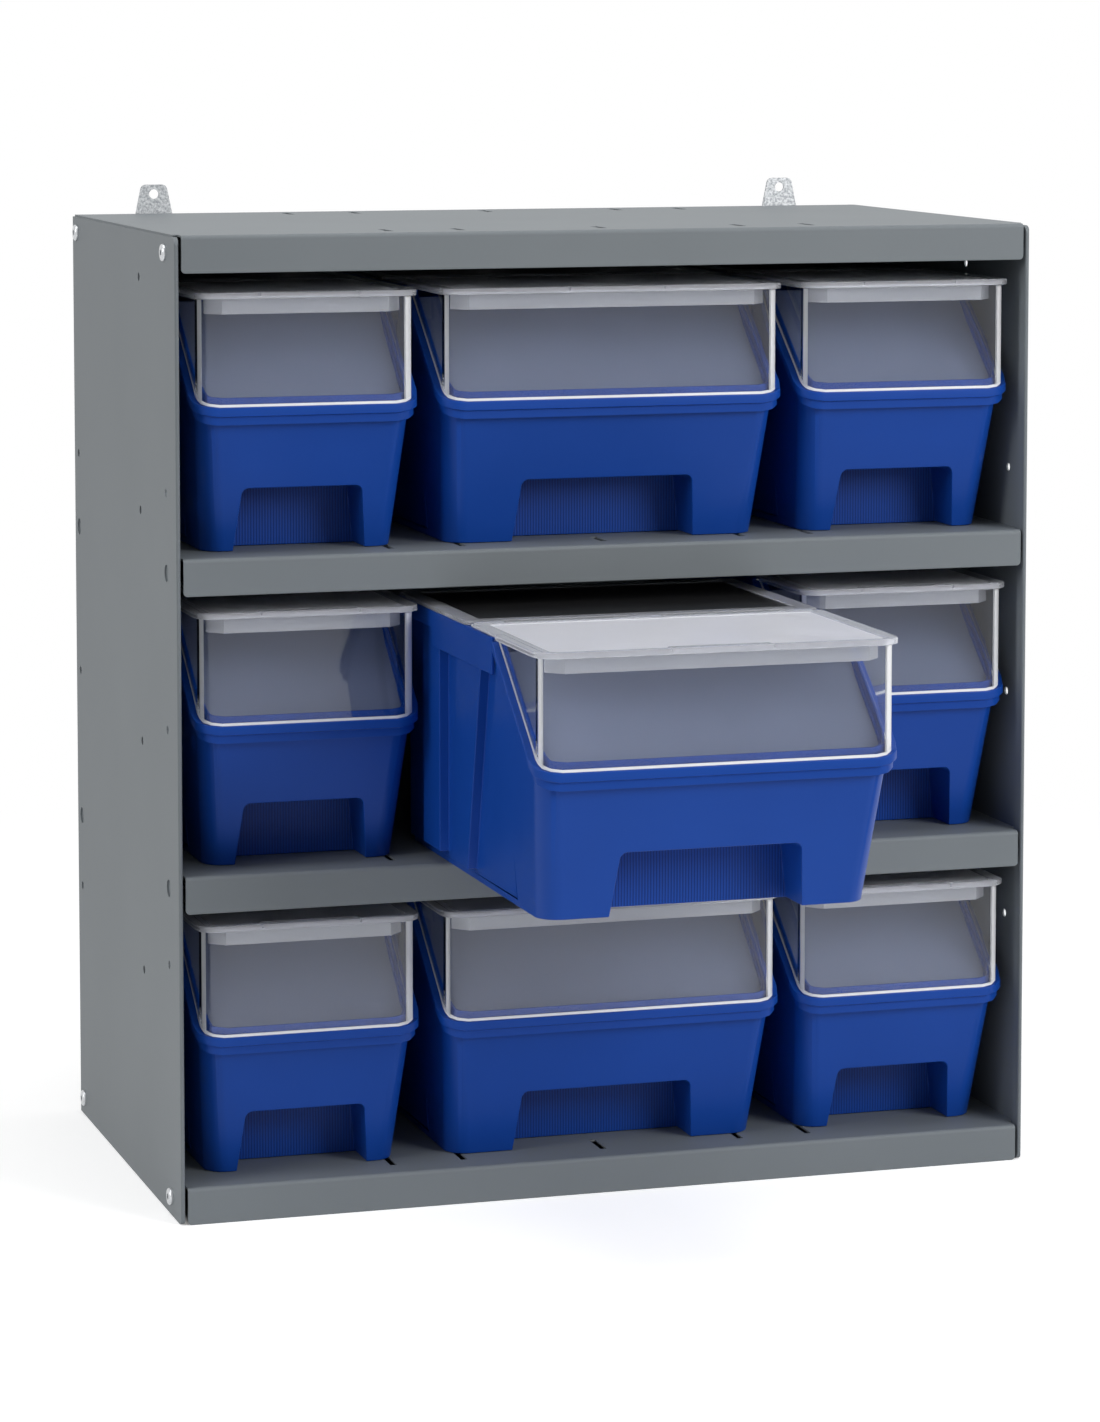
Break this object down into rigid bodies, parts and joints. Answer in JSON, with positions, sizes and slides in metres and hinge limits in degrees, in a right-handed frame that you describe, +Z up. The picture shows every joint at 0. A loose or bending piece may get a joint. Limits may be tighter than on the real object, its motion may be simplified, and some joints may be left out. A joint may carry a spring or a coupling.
{
  "type": "bin rack",
  "caption": "Steel wall rack with shelves that hold lidded plastic storage bins with clear windows; the bins slide out and their lids lift.",
  "frame": {"origin": "the middle of the front edge of the base, at the base plane: midway between the side panels, on the front plane of the case", "axes": "+Z up, the open front towards -Y, +X to the right seen from the front"},
  "size_m": [0.6094, 0.5837, 0.6809],
  "materials": {
    "painted_steel": "semi-gloss grey powder coat",
    "galvanised_steel": "bright galvanised",
    "screw_steel": "bright plated",
    "blue_plastic": "satin moulded",
    "clear_plastic": "clear moulded",
    "slate_plastic": "matt sheet"
  },
  "bodies": {
    "case": {"side_panel_left": "painted_steel", "side_panel_right": "painted_steel", "base_panel": "painted_steel", "lower_shelf": "painted_steel", "upper_shelf": "painted_steel", "top_panel": "painted_steel", "back_panel": "painted_steel", "wall_bracket_left": "galvanised_steel", "wall_bracket_right": "galvanised_steel", "corner_screws": "screw_steel"},
    "bin_top_left": {"bin_top_left": "blue_plastic", "window_top_left": "clear_plastic", "insert_top_left": "slate_plastic", "rear_lid_top_left": "clear_plastic"},
    "lid_top_left": {"front_lid_top_left": "clear_plastic"},
    "bin_top_centre": {"bin_top_centre": "blue_plastic", "window_top_centre": "clear_plastic", "insert_top_centre": "slate_plastic", "rear_lid_top_centre": "clear_plastic"},
    "lid_top_centre": {"front_lid_top_centre": "clear_plastic"},
    "bin_top_right": {"bin_top_right": "blue_plastic", "window_top_right": "clear_plastic", "insert_top_right": "slate_plastic", "rear_lid_top_right": "clear_plastic"},
    "lid_top_right": {"front_lid_top_right": "clear_plastic"},
    "bin_middle_left": {"bin_middle_left": "blue_plastic", "window_middle_left": "clear_plastic", "insert_middle_left": "slate_plastic", "rear_lid_middle_left": "clear_plastic"},
    "lid_middle_left": {"front_lid_middle_left": "clear_plastic"},
    "bin_middle_centre": {"bin_middle_centre": "blue_plastic", "window_middle_centre": "clear_plastic", "insert_middle_centre": "slate_plastic", "rear_lid_middle_centre": "clear_plastic"},
    "lid_middle_centre": {"front_lid_middle_centre": "clear_plastic"},
    "bin_middle_right": {"bin_middle_right": "blue_plastic", "window_middle_right": "clear_plastic", "insert_middle_right": "slate_plastic", "rear_lid_middle_right": "clear_plastic"},
    "lid_middle_right": {"front_lid_middle_right": "clear_plastic"},
    "bin_bottom_left": {"bin_bottom_left": "blue_plastic", "window_bottom_left": "clear_plastic", "insert_bottom_left": "slate_plastic", "rear_lid_bottom_left": "clear_plastic"},
    "lid_bottom_left": {"front_lid_bottom_left": "clear_plastic"},
    "bin_bottom_centre": {"bin_bottom_centre": "blue_plastic", "window_bottom_centre": "clear_plastic", "insert_bottom_centre": "slate_plastic", "rear_lid_bottom_centre": "clear_plastic"},
    "lid_bottom_centre": {"front_lid_bottom_centre": "clear_plastic"},
    "bin_bottom_right": {"bin_bottom_right": "blue_plastic", "window_bottom_right": "clear_plastic", "insert_bottom_right": "slate_plastic", "rear_lid_bottom_right": "clear_plastic"},
    "lid_bottom_right": {"front_lid_bottom_right": "clear_plastic"}
  },
  "joints": [
    {"name": "slide_top_left", "type": "slide", "parent": "case", "child": "bin_top_left", "axis": [0, -1, 0], "range_m": [0, 0.245]},
    {"name": "lid_hinge_top_left", "type": "hinge", "parent": "bin_top_left", "child": "lid_top_left", "pos_m": [-0.2108, 0.158, 0.6187], "axis": [1, 0, 0], "range_deg": [-10, 0]},
    {"name": "slide_top_centre", "type": "slide", "parent": "case", "child": "bin_top_centre", "axis": [0, -1, 0], "range_m": [0, 0.245]},
    {"name": "lid_hinge_top_centre", "type": "hinge", "parent": "bin_top_centre", "child": "lid_top_centre", "pos_m": [0.0032, 0.158, 0.6187], "axis": [1, 0, 0], "range_deg": [-10, 0]},
    {"name": "slide_top_right", "type": "slide", "parent": "case", "child": "bin_top_right", "axis": [0, -1, 0], "range_m": [0, 0.245]},
    {"name": "lid_hinge_top_right", "type": "hinge", "parent": "bin_top_right", "child": "lid_top_right", "pos_m": [0.2146, 0.158, 0.6187], "axis": [1, 0, 0], "range_deg": [-10, 0]},
    {"name": "slide_middle_left", "type": "slide", "parent": "case", "child": "bin_middle_left", "axis": [0, -1, 0], "range_m": [0, 0.245]},
    {"name": "lid_hinge_middle_left", "type": "hinge", "parent": "bin_middle_left", "child": "lid_middle_left", "pos_m": [-0.2108, 0.158, 0.4067], "axis": [1, 0, 0], "range_deg": [-10, 0]},
    {"name": "slide_middle_centre", "type": "slide", "parent": "case", "child": "bin_middle_centre", "axis": [0, 1, 0], "range_m": [0, 0.245]},
    {"name": "lid_hinge_middle_centre", "type": "hinge", "parent": "bin_middle_centre", "child": "lid_middle_centre", "pos_m": [-0.0062, -0.087, 0.4067], "axis": [1, 0, 0], "range_deg": [-105, 0]},
    {"name": "slide_middle_right", "type": "slide", "parent": "case", "child": "bin_middle_right", "axis": [0, -1, 0], "range_m": [0, 0.245]},
    {"name": "lid_hinge_middle_right", "type": "hinge", "parent": "bin_middle_right", "child": "lid_middle_right", "pos_m": [0.2146, 0.158, 0.4067], "axis": [1, 0, 0], "range_deg": [-10, 0]},
    {"name": "slide_bottom_left", "type": "slide", "parent": "case", "child": "bin_bottom_left", "axis": [0, -1, 0], "range_m": [0, 0.245]},
    {"name": "lid_hinge_bottom_left", "type": "hinge", "parent": "bin_bottom_left", "child": "lid_bottom_left", "pos_m": [-0.2108, 0.158, 0.1969], "axis": [1, 0, 0], "range_deg": [-10, 0]},
    {"name": "slide_bottom_centre", "type": "slide", "parent": "case", "child": "bin_bottom_centre", "axis": [0, -1, 0], "range_m": [0, 0.245]},
    {"name": "lid_hinge_bottom_centre", "type": "hinge", "parent": "bin_bottom_centre", "child": "lid_bottom_centre", "pos_m": [0.0032, 0.158, 0.1969], "axis": [1, 0, 0], "range_deg": [-10, 0]},
    {"name": "slide_bottom_right", "type": "slide", "parent": "case", "child": "bin_bottom_right", "axis": [0, -1, 0], "range_m": [0, 0.245]},
    {"name": "lid_hinge_bottom_right", "type": "hinge", "parent": "bin_bottom_right", "child": "lid_bottom_right", "pos_m": [0.2146, 0.158, 0.1969], "axis": [1, 0, 0], "range_deg": [-10, 0]}
  ]
}
